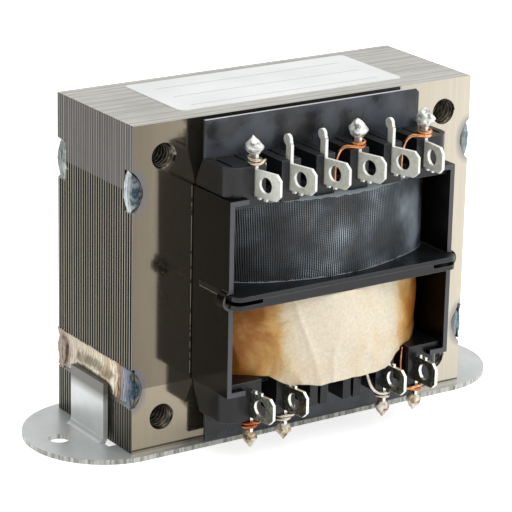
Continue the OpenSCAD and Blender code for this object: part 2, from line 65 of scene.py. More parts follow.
away = Vector((math.sin(AZIMUTH) * math.cos(ELEVATION),
               -math.cos(AZIMUTH) * math.cos(ELEVATION),
               math.sin(ELEVATION)))
camera = bpy.data.objects.new("camera", bpy.data.cameras.new("camera"))
bpy.context.scene.collection.objects.link(camera)
camera.location = TARGET + DISTANCE * away
camera.rotation_euler = (away.to_track_quat("Z", "Y").to_matrix() @ Matrix.Rotation(ROLL, 3, "Z")).to_euler()
camera.data.sensor_width = 36
camera.data.lens = 187.1
camera.data.clip_start, camera.data.clip_end = 0.01, 20
bpy.context.scene.camera = camera
print("camera at", [round(v, 4) for v in camera.location])

# %% [markdown]
# ## Colours and shader nodes
# Colours are written as the eye reads them, in sRGB hex, and one function makes them linear.
# One more function adds any shader node, sets it and links it, so that a material reads as a
# list of steps. The small patterns that several finishes share are functions too.

# %% Colour and node helpers
def hex_colour(text):
    """An sRGB hex colour as linear red, green, blue and alpha."""
    parts = [int(text[i:i + 2], 16) / 255 for i in (1, 3, 5)]
    return [p / 12.92 if p <= 0.04045 else ((p + 0.055) / 1.055) ** 2.4 for p in parts] + [1]


def feed(node, inputs):
    """Sets inputs. Each takes a number, a hex colour, a socket, or a node for its first live output."""
    for key, value in inputs.items():
        if isinstance(value, bpy.types.Node):
            value = next(socket for socket in value.outputs if socket.enabled)
        if isinstance(value, bpy.types.NodeSocket):
            node.id_data.links.new(value, node.inputs[key])
        else:
            node.inputs[key].default_value = hex_colour(value) if isinstance(value, str) else value


def add_node(tree, kind, inputs=None, stops=(), **settings):
    """Adds a shader node with its settings and links. stops are the places and colours of a ramp."""
    made = tree.nodes.new("ShaderNode" + kind)
    for key, value in settings.items():
        setattr(made, key, value)
    while stops and len(made.color_ramp.elements) < len(stops):
        made.color_ramp.elements.new(0.5)
    for number, (place, colour) in enumerate(stops):
        made.color_ramp.elements[number].position = place
        made.color_ramp.elements[number].color = hex_colour(colour)
    feed(made, inputs or {})
    return made


def new_material(name, settings):
    """A material, its Principled shader, its object coordinates in metres, and add_node for its tree."""
    mat = bpy.data.materials.new(name)
    mat.use_nodes = True
    add = partial(add_node, mat.node_tree)
    shader = mat.node_tree.nodes["Principled BSDF"]
    feed(shader, settings)
    return mat, shader, add("TexCoord").outputs["Object"], add


def facing(add):
    """How far the surface looks along X, Y and Z, each from -1 to 1."""
    return add("SeparateXYZ", {0: add("NewGeometry").outputs["Normal"]}).outputs


def streaks(add, place, per_metre, detail):
    """Noise with its own fineness along each axis, so that it runs in streaks."""
    stretched = add("Mapping", {"Vector": place, "Scale": per_metre})
    return add("TexNoise", {"Vector": stretched, "Scale": 1, "Detail": detail})


def within(add, value, middle, half):
    """1 where the value lies less than half away from the middle."""
    off = add("Math", {0: value, 1: middle}, operation="SUBTRACT")
    off = add("Math", {0: off}, operation="ABSOLUTE")
    return add("Math", {0: off, 1: half}, operation="LESS_THAN")


def edge_mask(add, bevelled):
    """1 on sharp edges and 0 on flat faces, from how far the bevelled normal turns away."""
    flat = add("NewGeometry").outputs["Normal"]
    same = add("VectorMath", {0: bevelled, 1: flat}, operation="DOT_PRODUCT")
    return add("MapRange", {"Value": same, "From Min": 0.99, "From Max": 0.9})


def finish_nodes(mat, slot, *names):
    """Puts a material on CAD nodes."""
    for name in names:
        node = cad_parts[name]
        node.data.materials.clear()
        node.data.materials.append(mat)

# %% [markdown]
# ## Floor and light
# The object stands on a wide white floor. A big soft lamp overhead and a weaker one at the
# front right do most of the work, and the pale world fills in, brighter from the right. The floor
# glows for the camera and, less, for reflections, which keeps it white and its shadow soft.

# %% Floor
FLOOR_HALF, FLOOR_DROP = 6, 0.05 * MM  # the floor lies a hair under the base, so the two don't flicker
floor_mesh = bpy.data.meshes.new("floor")
corners = [(sx * FLOOR_HALF, sy * FLOOR_HALF, 0) for sx, sy in ((-1, -1), (1, -1), (1, 1), (-1, 1))]
floor_mesh.from_pydata(corners, [], [(0, 1, 2, 3)])
floor = bpy.data.objects.new("floor", floor_mesh)
floor.location.z = -FLOOR_DROP
bpy.context.scene.collection.objects.link(floor)

floor_paint = bpy.data.materials.new("white_floor")
floor_paint.use_nodes = True
floor_paint.node_tree.nodes.clear()
add = partial(add_node, floor_paint.node_tree)
path = add("LightPath").outputs
seen = add("Math", {0: path["Is Camera Ray"], 1: path["Is Glossy Ray"]}, operation="MAXIMUM")
seen = add("Math", {0: seen, 1: path["Is Transmission Ray"]}, operation="MAXIMUM")
glow_level = add("Math", {0: seen, 1: 0.5}, operation="MULTIPLY")
glow_level = add("Math", {0: path["Is Camera Ray"], 1: 0.2, 2: glow_level}, operation="MULTIPLY_ADD")
matt = add("BsdfDiffuse", {"Color": "#f4f4f4"})
glow = add("Emission", {"Strength": glow_level})
both = add("AddShader", {0: matt, 1: glow})
add("OutputMaterial", {"Surface": both})
floor_mesh.materials.append(floor_paint)

# %% World and lamps
bpy.context.scene.view_settings.view_transform = "Standard"
world = bpy.data.worlds.new("studio")
world.use_nodes = True
bpy.context.scene.world = world
add = partial(add_node, world.node_tree)
view = add("TexCoord").outputs["Generated"]
direction = add("VectorMath", {0: view, 1: (0.27, -0.14, 0)}, operation="DOT_PRODUCT")
sky = add("Math", {0: direction, 1: 0.5}, operation="ADD")
level = add("Math", {0: sky, 1: add("LightPath").outputs["Is Camera Ray"]}, operation="MAXIMUM")
feed(world.node_tree.nodes["Background"], {"Color": "#ffffff", "Strength": level})


def soft_lamp(name, place, size, power):
    lamp = bpy.data.objects.new(name, bpy.data.lights.new(name, "AREA"))
    lamp.data.shape = "SQUARE"
    lamp.data.size = size
    lamp.data.energy = power
    lamp.location = place
    lamp.rotation_euler = (Vector(place) - TARGET).to_track_quat("Z", "Y").to_euler()
    bpy.context.scene.collection.objects.link(lamp)


soft_lamp("lamp_overhead", (0.1, 0.05, 1.1), 2.0, 13.8)
soft_lamp("lamp_front_right", (0.75, -0.75, 0.55), 1.2, 2.6)

# %% [markdown]
# ## Silicon steel laminations
# The sheets are rolled silicon steel, dipped in varnish after stacking. Flat faces are smooth
# and bronze, so they mirror the black plastic in front of them, and the bronze is painted dark at
# the left and pale at the right as a reflection of the floor, which is shaded at the left. The
# stamped edges are duller: between the joints every second sheet sits back and is painted nearly
# black as shade, and at the yokes the edges lie flush and differ less. The top of the stack is
# painted pale grey, as lit from above. Welding left a blue-grey ring on the flat faces at each
# joint. One function makes the steel, and a loop gives the four kinds of sheet their tones.

# %% Lamination steel
SHEET = 0.545 * MM
STACK_FRONT = -17.44 * MM
CORE_SIDE = 47.625 * MM
CORE_MIDDLE, JOINT = 40.8875 * MM, 23.8125 * MM  # height of the middle, and the joints above and below it
WINDOW, WINDOW_TALL = 31.95 * MM, 23.6 * MM  # where the stamped window shows beside the shrouds
RING = 1.6  # a heat ring is this much taller than it is wide


def lamination_steel(name, legs, yoke, yoke_above, left="#6e6556", right="#c2baaa", lines=0.0):
    """Varnished silicon steel. legs and yoke are the tones of the edges between and beyond the joints."""
    mat, shader, place, add = new_material(name, {"Coat Weight": 0.2, "Coat Roughness": 0.06})
    xyz = add("SeparateXYZ", {0: place}).outputs
    turned = facing(add)
    side_on = add("Math", {0: turned["Y"]}, operation="ABSOLUTE")
    is_face = add("Math", {0: side_on, 1: 0.5}, operation="GREATER_THAN")
    is_top = add("Math", {0: turned["Z"], 1: 0.5}, operation="GREATER_THAN")
    is_yoke = add("Math", {0: xyz["Z"], 1: CORE_MIDDLE + (JOINT if yoke_above else -JOINT)},
                  operation="GREATER_THAN" if yoke_above else "LESS_THAN")

    # one tone for each sheet, plus streaks 6 mm long that the press tool drags across the edge
    sheet = add("Math", {0: xyz["Y"], 1: 1 / SHEET, 2: -STACK_FRONT / SHEET}, operation="MULTIPLY_ADD")
    number = add("Math", {0: sheet}, operation="FLOOR")
    tone = add("TexWhiteNoise", {"W": number}, noise_dimensions="1D")
    streak = streaks(add, place, (160, 3000, 60), 2)
    shade = add("Math", {0: tone, 1: 0.4, 2: 0.5}, operation="MULTIPLY_ADD")
    shade = add("Math", {0: streak, 1: 0.6, 2: shade}, operation="MULTIPLY_ADD")
    # the rounded rim of each sheet is painted with a dark line between two sheets, as shade in the groove,
    # and a brighter middle, as its highlight
    rim = add("Math", {0: sheet, 1: 0.5}, operation="PINGPONG")
    rim = add("MapRange", {"Value": rim, "From Min": 0.16, "From Max": 0.45, "To Min": 0.03, "To Max": 1.3})
    rim = add("Mix", {0: is_top, 6: rim, 7: "#ffffff"}, data_type="RGBA")
    edge = add("Mix", {0: is_yoke, 6: legs, 7: yoke}, data_type="RGBA")
    # the top of the stack is painted pale grey, as lit from above
    edge = add("Mix", {0: is_top, 6: edge, 7: "#cfcdc6"}, data_type="RGBA")
    patch = add("TexNoise", {"Vector": place, "Scale": 45, "Detail": 2})
    wear_and_painted_light = add("MapRange", {"Value": patch, "From Min": 0.5, "From Max": 0.75, "To Max": 0.3})
    edge = add("Mix", {0: wear_and_painted_light, 6: edge, 7: "#938a84"}, data_type="RGBA")
    edge = add("VectorMath", {0: edge, "Scale": shade}, operation="SCALE")
    edge = add("VectorMath", {0: edge, 1: rim}, operation="MULTIPLY")

    # painted reflection: the bronze is darker at the left and paler at the right, as the face mirrors a floor
    # shaded at the left
    across = add("MapRange", {"Value": xyz["X"], "From Min": -0.047, "From Max": 0.047})
    grain = streaks(add, place, (900, 1, 35), 4)
    bronze = add("Mix", {0: across, 6: left, 7: right}, data_type="RGBA")
    # a blue-grey ring round each weld
    wide = add("Math", {0: xyz["X"]}, operation="ABSOLUTE")
    up = add("Math", {0: xyz["Z"], 1: CORE_MIDDLE}, operation="SUBTRACT")
    up = add("Math", {0: up}, operation="ABSOLUTE")
    near = add("Math", {0: wide, 1: RING}, operation="MULTIPLY")
    spot = add("CombineXYZ", {"X": near, "Z": up})
    ring = add("VectorMath", {0: spot, 1: (RING * CORE_SIDE, 0, JOINT)}, operation="DISTANCE")
    heat = add("MapRange", {"Value": ring, "From Min": 6.6 * MM, "From Max": 4.6 * MM, "To Max": 0.55})
    bronze = add("Mix", {0: heat, 6: bronze, 7: "#5e6478"}, data_type="RGBA")
    # a thin burr along the window, broken into dashes, painted bright and less metallic as a glint
    dash = add("Math", {0: streaks(add, place, (1, 1, 420), 1), 1: 0.47}, operation="GREATER_THAN")
    on_edge = within(add, wide, WINDOW, 0.08 * MM)
    in_window = add("Math", {0: up, 1: WINDOW_TALL}, operation="LESS_THAN")
    burr_glint = add("Math", {0: on_edge, 1: in_window}, operation="MULTIPLY")
    burr_glint = add("Math", {0: burr_glint, 1: dash}, operation="MULTIPLY")
    bronze = add("Mix", {0: burr_glint, 6: bronze, 7: "#b3a58f"}, data_type="RGBA")
    # a few fine dark lines along the foot of the face
    foot = add("Math", {0: xyz["Z"], 1: 1.0 * MM}, operation="PINGPONG")
    foot = add("Math", {0: foot, 1: 0.22 * MM}, operation="LESS_THAN")
    low = add("Math", {0: xyz["Z"], 1: 3.3 * MM}, operation="LESS_THAN")
    foot = add("Math", {0: foot, 1: low}, operation="MULTIPLY")
    foot = add("Math", {0: foot, 1: lines}, operation="MULTIPLY")
    bronze = add("Mix", {0: foot, 6: bronze, 7: "#3a2a26"}, data_type="RGBA")
    shade = add("Math", {0: grain, 1: 0.2, 2: 0.9}, operation="MULTIPLY_ADD")
    bronze = add("VectorMath", {0: bronze, "Scale": shade}, operation="SCALE")

    wave = add("TexNoise", {"Vector": place, "Scale": 55, "Detail": 1})
    height = add("Math", {0: wave, 1: 6, 2: grain}, operation="MULTIPLY_ADD")
    feed(shader, {
        "Base Color": add("Mix", {0: is_face, 6: edge, 7: bronze}, data_type="RGBA"),
        "Metallic": add("MapRange", {"Value": burr_glint, "To Min": 0.9, "To Max": 0.1}),
        "Roughness": add("MapRange", {"Value": is_face, "To Min": 0.42, "To Max": 0.1}),
        "Normal": add("Bump", {"Height": height, "Distance": 0.000006})})
    return mat


# between the joints the sheets that sit back get legs #0f0c0a, painted nearly black as shade
for node, name, *tones in (
        ("e_laminations_yoke_up", "varnished_silicon_steel_pale", "#8f8977", "#8b8580", True),
        ("e_laminations_yoke_down", "varnished_silicon_steel_dark", "#0f0c0a", "#565450", False),
        ("i_laminations_top", "varnished_silicon_steel_top", "#5b5651", "#5b5651", True),
        ("i_laminations_bottom", "varnished_silicon_steel_low", "#8f8d83", "#8f8d83", True,
         "#978d7a", "#c2baaa", 0.8)):
    finish_nodes(lamination_steel(name, *tones), "core_steel", node)
print("laminations dressed")

# %% [markdown]
# ## Zinc-plated base
# The base is sheet steel, stamped, bent and then zinc plated, which leaves a pale grey satin
# with faint clouds. Its sheared rim shows upright scratches from the cutting tool.

# %% Base plate
zinc, shader, place, add = new_material("zinc_plated_sheet", {
    "Metallic": 0.55, "Coat Weight": 0.1, "Coat Roughness": 0.3})
xyz = add("SeparateXYZ", {0: place}).outputs
turned = facing(add)
clouds = add("TexNoise", {"Vector": place, "Scale": 70, "Detail": 5, "Roughness": 0.6})
colour = add("ValToRGB", {0: clouds}, [(0.3, "#d9dedd"), (0.7, "#eef1f0")])
# the top of each tab is darkened, by heat tint from welding and by painted shade and dark reflection under
# the weld bead
scorch_and_painted_shade = add("MapRange", {"Value": xyz["Z"], "From Min": 11.0 * MM, "From Max": 13.6 * MM, "To Max": 0.85})
colour = add("Mix", {0: scorch_and_painted_shade, 6: colour, 7: "#4a4538"}, data_type="RGBA")
# upright scratches from the shear, 0.7 mm apart, on the rim
cut = streaks(add, place, (1400, 1400, 200), 3)
cut_colour = add("ValToRGB", {0: cut}, [(0.35, "#85867f"), (0.65, "#d3d4cc")])
upright = add("Math", {0: turned["Z"]}, operation="ABSOLUTE")
upright = add("Math", {0: upright, 1: 0.5}, operation="LESS_THAN")
is_rim = add("Math", {0: xyz["Z"], 1: 1.25 * MM}, operation="LESS_THAN")
is_rim = add("Math", {0: is_rim, 1: upright}, operation="MULTIPLY")
feed(shader, {
    "Base Color": add("Mix", {0: is_rim, 6: colour, 7: cut_colour}, data_type="RGBA"),
    "Roughness": add("MapRange", {"Value": clouds, "To Min": 0.22, "To Max": 0.4}),
    "Normal": add("Bump", {"Height": cut, "Distance": 0.00001, "Strength": 0.6})})
finish_nodes(zinc, "zinc_plate", "base_plate")

# %% [markdown]
# ## Moulded and formed plastics
# The bobbins are glass-filled nylon, moulded, so their gloss is broken by a fine grain. The two
# shrouds are cut from black sheet, shiny on its faces and grey along its cut ends, with a glint
# painted pale along the upward edge of the slit. The cards are slate-grey pressed fibre with a
# soft sheen, painted into their colour as lighter clouds, and a pale cut edge. A small bevel in
# the shader catches light along the edges, as a real moulding does, and the edges are painted
# lighter in patches, as highlight and wear.

# %% Plastics
SHROUD_X = 31.62 * MM


def plastic(name, base, speck, roughness, grain_mm, bevel_mm, gloss, cut=None, cut_axis="Y", painted_sheen_clouds=None,
            painted_slit_glint=None):
    """A dark plastic with grain of a real size. cut colours the faces that look along cut_axis, cloud
    is a lighter tone painted in cloudy patches as a sheen, and slit is a pale colour painted on the
    upward edges near the middle of the core as a glint."""
    mat, shader, place, add = new_material(name, {"IOR": 1.53, "Specular IOR Level": gloss})
    grain = add("TexNoise", {"Vector": place, "Scale": 1 / (grain_mm * MM), "Detail": 3})
    colour = add("ValToRGB", {0: grain}, [(0.3, base), (0.72, speck)])
    blotch = add("TexNoise", {"Vector": place, "Scale": 110, "Detail": 4})
    # painted sheen: lighter clouds mixed into the colour
    if painted_sheen_clouds:
        patch = add("MapRange", {"Value": blotch, "From Min": 0.44, "From Max": 0.6, "To Max": 0.9})
        colour = add("Mix", {0: patch, 6: colour, 7: painted_sheen_clouds}, data_type="RGBA")
    if cut:
        turned = facing(add)
        end_on = add("Math", {0: turned[cut_axis]}, operation="ABSOLUTE")
        end_on = add("Math", {0: end_on, 1: 0.8}, operation="GREATER_THAN")
        colour = add("Mix", {0: end_on, 6: colour, 7: cut}, data_type="RGBA")
    # painted glint: a pale colour on the upward edges of the slit near the middle of the core
    if painted_slit_glint:
        xyz = add("SeparateXYZ", {0: place}).outputs
        middle = within(add, xyz["Z"], CORE_MIDDLE, 4 * MM)
        upward = add("Math", {0: turned["Z"], 1: 0.8}, operation="GREATER_THAN")
        wide = add("Math", {0: xyz["X"]}, operation="ABSOLUTE")
        inside = add("Math", {0: wide, 1: SHROUD_X}, operation="LESS_THAN")
        glint = add("Math", {0: middle, 1: upward}, operation="MULTIPLY")
        glint = add("Math", {0: glint, 1: inside}, operation="MULTIPLY")
        colour = add("Mix", {0: glint, 6: colour, 7: painted_slit_glint}, data_type="RGBA")
    rough = add("MapRange", {"Value": blotch, "From Min": 0.35, "From Max": 0.65,
                             "To Min": roughness - 0.06, "To Max": roughness + 0.1})
    round_edge = add("Bevel", {"Radius": bevel_mm * MM}, samples=6)
    bump = add("Bump", {"Height": grain, "Distance": 0.00002, "Strength": 0.5, "Normal": round_edge})
    # edges painted lighter in patches, as highlight and wear
    wear_and_painted_light = add("Math", {0: edge_mask(add, round_edge), 1: blotch}, operation="MULTIPLY")
    colour = add("Mix", {0: wear_and_painted_light, 6: colour, 7: "#6d7076"}, data_type="RGBA")
    feed(shader, {"Base Color": colour, "Roughness": rough, "Normal": bump})
    return mat


finish_nodes(plastic("moulded_black_nylon", "#101114", "#1b1c20", 0.3, 0.5, 0.25, 0.38),
             "bobbin_plastic", "bobbin_upper", "bobbin_lower")
finish_nodes(plastic("cut_black_sheet", "#0a0807", "#100d0b", 0.18, 1.5, 0.15, 0.22, cut="#595a5f",
                     painted_slit_glint="#fff0d4"),
             "shroud_plastic", "shroud_left", "shroud_right")
finish_nodes(plastic("pressed_slate_fibre", "#121418", "#1e2127", 0.26, 1.2, 0.12, 0.5, cut="#c3c8ce",
                     cut_axis="Z", painted_sheen_clouds="#4a515a"),
             "card_fibre", "card_top", "card_bottom")

# %% [markdown]
# ## Tinned lugs
# The lugs are stamped brass with a tin coat, a little mottled, with the rims painted bright as
# highlights where the sheet was cut. The upper row is painted nearly white, as a bright reflection,
# and the lower row dark grey, as a dark reflection.

# %% Tinned brass
def tinned(name, dark, middle, light, metal, roughness):
    """Tin over brass: mottled faces, and edges painted bright as highlights where the sheet was cut."""
    mat, shader, place, add = new_material(name, {"Metallic": metal})
    mottle = add("TexNoise", {"Vector": place, "Scale": 900, "Detail": 4, "Roughness": 0.6})
    colour = add("ValToRGB", {0: mottle}, [(0.3, dark), (0.55, middle), (0.8, light)])
    turned = facing(add)
    # painted highlight: the cut edges and the rounded edges are painted near white
    cut = add("Math", {0: turned["X"]}, operation="ABSOLUTE")
    cut = add("Math", {0: cut, 1: 0.6}, operation="LESS_THAN")
    round_edge = add("Bevel", {"Radius": 0.2 * MM}, samples=6)
    painted_edge_highlight = add("Math", {0: cut, 1: edge_mask(add, round_edge)}, operation="MAXIMUM")
    bump = add("Bump", {"Height": mottle, "Distance": 0.00002, "Strength": 0.5, "Normal": round_edge})
    feed(shader, {
        "Base Color": add("Mix", {0: painted_edge_highlight, 6: colour, 7: "#f8f8f3"}, data_type="RGBA"),
        "Roughness": add("MapRange", {"Value": mottle, "To Min": roughness, "To Max": roughness + 0.2}),
        "Normal": bump})
    return mat


LUGS = [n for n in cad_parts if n.startswith("terminal_")]
# the upper row is painted nearly white and matt as a bright reflection, the lower row dark grey as a dark
# reflection
finish_nodes(tinned("tinned_stamped_brass", "#dcdccb", "#eeefe4", "#fafaf5", 0.3, 0.28), "tinned_brass",
             *[n for n in LUGS if "top" in n])
finish_nodes(tinned("tinned_stamped_brass_painted_dark", "#414238", "#6a6b5f", "#9c9d90", 0.75, 0.15), "tinned_brass",
             *[n for n in LUGS if "low" in n])
print("lugs:", len(LUGS))

# %% [markdown]
# ## Mesh helpers
# Every piece made here keeps its place in its own mesh and its object at the origin, as the CAD
# nodes do. So one set of object coordinates, in metres, serves all materials.

# %% Mesh helpers
def new_piece(name, points, faces, mat, slot, stands_for=(), uv=None):
    """A mesh object in the row frame. uv is one (u, v) pair for each corner of each face."""
    mesh = bpy.data.meshes.new(name)
    mesh.from_pydata([tuple(p) for p in points], [], faces)
    if uv is not None:
        mesh.uv_layers.new(name="UVMap").data.foreach_set("uv", np.array(uv, np.float32).ravel())
    mesh.shade_smooth()
    mesh.validate()
    mesh.materials.append(mat)
    made = bpy.data.objects.new(name, mesh)
    bpy.context.scene.collection.objects.link(made)
    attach(made, "root")
    if stands_for:
        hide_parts(*stands_for)
    return made


def tube(points, radius, sides=12):
    """Points and faces of a round wire along a line, with closed ends."""
    heading = [(points[min(i + 1, len(points) - 1)] - points[max(i - 1, 0)]).normalized()
               for i in range(len(points))]
    across = heading[0].orthogonal().normalized()
    rings = []
    for point, along in zip(points, heading):
        across = (across - across.dot(along) * along).normalized()
        other = along.cross(across)
        rings += [point + radius * (math.cos(a) * across + math.sin(a) * other)
                  for a in (2 * math.pi * k / sides for k in range(sides))]
    faces = [(a + k, a + (k + 1) % sides, a + sides + (k + 1) % sides, a + sides + k)
             for a in range(0, (len(points) - 1) * sides, sides) for k in range(sides)]
    last = (len(points) - 1) * sides
    faces += [tuple(range(sides - 1, -1, -1)), tuple(range(last, last + sides))]
    return rings, faces


def join(parts):
    """Several (points, faces) as one."""
    points, faces = [], []
    for more_points, more_faces in parts:
        faces += [tuple(i + len(points) for i in face) for face in more_faces]
        points += list(more_points)
    return points, faces

# %% [markdown]
# ## Tapped core holes
# Four holes through the stack are tapped for screws. Each thread is a helical ridge with a
# narrow flat crest, one turn for every 1.25 mm. The crests are painted bright as highlights, and
# the flanks painted dark as the shade inside the holes.

# %% Threads
def thread_steel(name, metal, roughness, dark, light):
    """Steel with wear about a millimetre across."""
    mat, shader, place, add = new_material(name, {"Metallic": metal, "Roughness": roughness})
    wear = add("TexNoise", {"Vector": place, "Scale": 900, "Detail": 2})
    feed(shader, {"Base Color": add("ValToRGB", {0: wear}, [dark, light])})
    return mat


# crests painted bright as highlights, flanks painted dark as shade in the hole
crest_painted_highlight = thread_steel("thread_crest_painted_highlight", 0.6, 0.3, (0.38, "#b9b1a3"), (0.6, "#ffffff"))
flank_painted_shade = thread_steel("thread_flank_painted_shade", 1.0, 0.3, (0.35, "#3a332a"), (0.7, "#857b6c"))

HOLE_X, HOLE_HEIGHTS = 39.625 * MM, (9.2 * MM, 72.575 * MM)
HOLE_R, CREST_R, THREAD, THREAD_END = 3.2 * MM, 2.65 * MM, 1.25 * MM, 17.2 * MM
STEPS = 24  # in one turn
RIDGE = ((HOLE_R, -0.5), (CREST_R, -0.14), (CREST_R, 0.14), (HOLE_R, 0.5))  # radius, and share of a pitch
SLIM = 0.98  # keeps one turn of the ridge off the next
turns = int(2 * THREAD_END / THREAD)
thread_parts = []
for sx in (-1, 1):
    for hole_z in HOLE_HEIGHTS:
        points, faces = [], []
        for i in range(turns * STEPS + 1):
            angle, y = 2 * math.pi * i / STEPS, THREAD * i / STEPS - THREAD_END
            for r, dy in RIDGE:
                points.append((sx * HOLE_X + r * math.cos(angle), y + dy * THREAD * SLIM,
                               hole_z + r * math.sin(angle)))
        for i in range(turns * STEPS):
            faces += [(4 * i + k, 4 * i + k + 1, 4 * i + k + 5, 4 * i + k + 4) for k in range(3)]
        thread_parts.append((points, faces))
threads = new_piece("core_hole_threads", *join(thread_parts), flank_painted_shade, "core_steel")
threads.data.materials.append(crest_painted_highlight)
count = len(threads.data.polygons)
threads.data.polygons.foreach_set("material_index", [int(i % 3 == 1) for i in range(count)])
print("thread turns in each hole:", turns)

# %% [markdown]
# ## Long welds
# The long welds fill a hollow across the ends of the sheets, so the metal froze in small ribs,
# one for each pair of sheets, and stands out only where it caught the tab. Heat leaves colours:
# cream and silver where it was hottest, then straw, then blue-grey and blue-black at the ends.
# The surface is a height over distance along the sheets and from the joint, with ribs and noise.
# The ends are lumps, proud of the flat faces.

# %% Weld metal
def weld_metal(name, tints, joint_z, reach):
    """Bare weld metal, tinted by its distance along the stack from front to back.

    On the flat faces it fades into the steel at reach mm above and below the joint, and 2 mm from the side.
    """
    mat, shader, place, add = new_material(name, {"Metallic": 0.9})
    xyz = add("SeparateXYZ", {0: place}).outputs
    rag = add("TexNoise", {"Vector": place, "Scale": 350, "Detail": 4, "Roughness": 0.7})
    along = add("MapRange", {"Value": xyz["Y"], "From Min": -18 * MM, "From Max": 18 * MM})
    along = add("Math", {0: rag, 1: 0.16, 2: along}, operation="MULTIPLY_ADD")
    dirt = streaks(add, place, (300, 2200, 300), 3)
    shade = add("MapRange", {"Value": dirt, "From Min": 0.3, "From Max": 0.7, "To Min": 0.78, "To Max": 1.08})
    # frozen ribs, one for each pair of sheets, painted darker between the ribs as shade in the grooves
    rib = add("Math", {0: xyz["Y"], 1: 1 / SHEET, 2: rag}, operation="MULTIPLY_ADD")
    rib = add("Math", {0: rib, 1: 1.0}, operation="PINGPONG")
    rib = add("MapRange", {"Value": rib, "From Max": 0.5, "To Min": 0.62, "To Max": 1.05})
    shade = add("Math", {0: shade, 1: rib}, operation="MULTIPLY")
    tint = add("ValToRGB", {0: along}, tints)
    tint = add("VectorMath", {0: tint, "Scale": shade}, operation="SCALE")
    wide = add("Math", {0: xyz["X"]}, operation="ABSOLUTE")
    inwards = add("Math", {0: wide, 1: -reach / 2, 2: CORE_SIDE * reach / 2}, operation="MULTIPLY_ADD")
    spread = add("CombineXYZ", {"X": inwards, "Z": xyz["Z"]})
    off = add("VectorMath", {0: spread, 1: (0, 0, joint_z)}, operation="DISTANCE")
    off = add("Math", {0: rag, 1: 2 * MM, 2: off}, operation="MULTIPLY_ADD")
    past = add("MapRange", {"Value": off, "From Min": (reach + 0.6) * MM, "From Max": (reach + 1.4) * MM})
    turned = facing(add)
    flat_on = add("Math", {0: turned["Y"]}, operation="ABSOLUTE")
    flat_on = add("Math", {0: flat_on, 1: 0.6}, operation="GREATER_THAN")
    fade = add("Math", {0: past, 1: flat_on}, operation="MULTIPLY")
    feed(shader, {
        "Base Color": add("Mix", {0: fade, 6: tint, 7: "#82796b"}, data_type="RGBA"),
        "Roughness": add("MapRange", {"Value": rag, "To Min": 0.3, "To Max": 0.6}),
        "Normal": add("Bump", {"Height": dirt, "Distance": 0.00008, "Strength": 0.6})})
    return mat


LONG = [(0.13, "#7d8796"), (0.23, "#a3abb8"), (0.28, "#a98662"), (0.33, "#f4ead8"), (0.42, "#c9b595"),
        (0.5, "#e6dbc5"), (0.65, "#cfc4ac"), (0.9, "#d3c6b8"), (1.0, "#ab9a8c")]
SPOT = [(0.12, "#9aa3a6"), (0.16, "#c6cfd2"), (0.3, "#b9bdb9"), (0.8, "#c6cac6"), (0.95, "#b9bdb9"),
        (1.0, "#8b9593")]
# at their front ends the welds on the left are painted blue-black as shaded, those on the right pale blue as
# lit
SHADED_END_TINTS = [(0.02, "#202b33"), (0.06, "#62808d"), (0.09, "#33414b")]
LIT_END_TINTS = [(0.02, "#7fa0ae"), (0.06, "#c3dbe5"), (0.09, "#8fa6b0")]
LOW_JOINT, HIGH_JOINT = CORE_MIDDLE - JOINT, CORE_MIDDLE + JOINT
long_left = weld_metal("heat_tinted_long_weld", SHADED_END_TINTS + LONG, LOW_JOINT, 2.6)
long_right = weld_metal("heat_tinted_long_weld_painted_lit", LIT_END_TINTS + LONG, LOW_JOINT, 4.0)
spot_left = weld_metal("heat_tinted_spot_weld", SHADED_END_TINTS + SPOT, HIGH_JOINT, 4.0)
spot_right = weld_metal("heat_tinted_spot_weld_painted_lit", LIT_END_TINTS + SPOT, HIGH_JOINT, 4.0)

# %% Long weld beads
# all in mm: the core's side, half the stack, half the long weld in a hollow, and half a tab
SIDE, STACK_HALF, HOLLOW, TAB_HALF = CORE_SIDE / MM, -STACK_FRONT / MM, 5.0, 7.7
WELD_HALF, WELD_BACK = 17.7, 46.9  # half a long weld's length, and where its metal begins, from the middle


def weld_rib(y):
    """0 to 1, with one rib for each pair of sheets."""
    return abs(math.sin(math.pi * (y * MM - STACK_FRONT) / (2 * SHEET)))


def long_weld(side):
    """The metal in the hollow at the lower joint, and its bulge over the tab."""
    rows, columns = 30, 480
    points, faces = [], []
    for j in range(columns + 1):
        y = WELD_HALF * (2 * j / columns - 1)
        rib = weld_rib(y)
        over_tab = min(1, max(0, (TAB_HALF + 1.6 - abs(y)) / 1.6))
        high = HOLLOW - 0.4 + 0.5 * rib + 0.35 * noise.noise((y * 0.35, 3.1, side))
        low = -HOLLOW + 0.9 + 0.5 * noise.noise((y * 0.3, 7.7, side))
        for i in range(rows + 1):
            s = low + (high - low) * i / rows
            rim = min(1, abs(s / HOLLOW)) ** 2.2
            x = SIDE - 0.75 + 0.8 * rim
            x += over_tab * 1.5 * math.exp(-((s + 0.2) / 2.3) ** 2)
            x += (1 - rim) * (0.12 * rib + 0.3 * noise.noise((y * 0.33, s * 0.4, side * 5))
                              + 0.14 * noise.noise((y * 1.3, s * 0.9, side * 7)))
            points.append((side * x * MM, y * MM, LOW_JOINT + s * MM))
    for j in range(columns):
        for i in range(rows):
            a = j * (rows + 1) + i
            face = (a, a + 1, a + rows + 2, a + rows + 1)
            faces.append(face if side < 0 else face[::-1])
    back = len(points)
    points += [(side * WELD_BACK * MM, y, z) for x, y, z in points]
    for j in range(columns):
        for e in (j * (rows + 1), j * (rows + 1) + rows):
            faces.append((e, e + rows + 1, back + e + rows + 1, back + e))
    for e in (0, columns * (rows + 1)):
        faces += [(e + i, e + i + 1, back + e + i + 1, back + e + i) for i in range(rows)]
    return points, faces


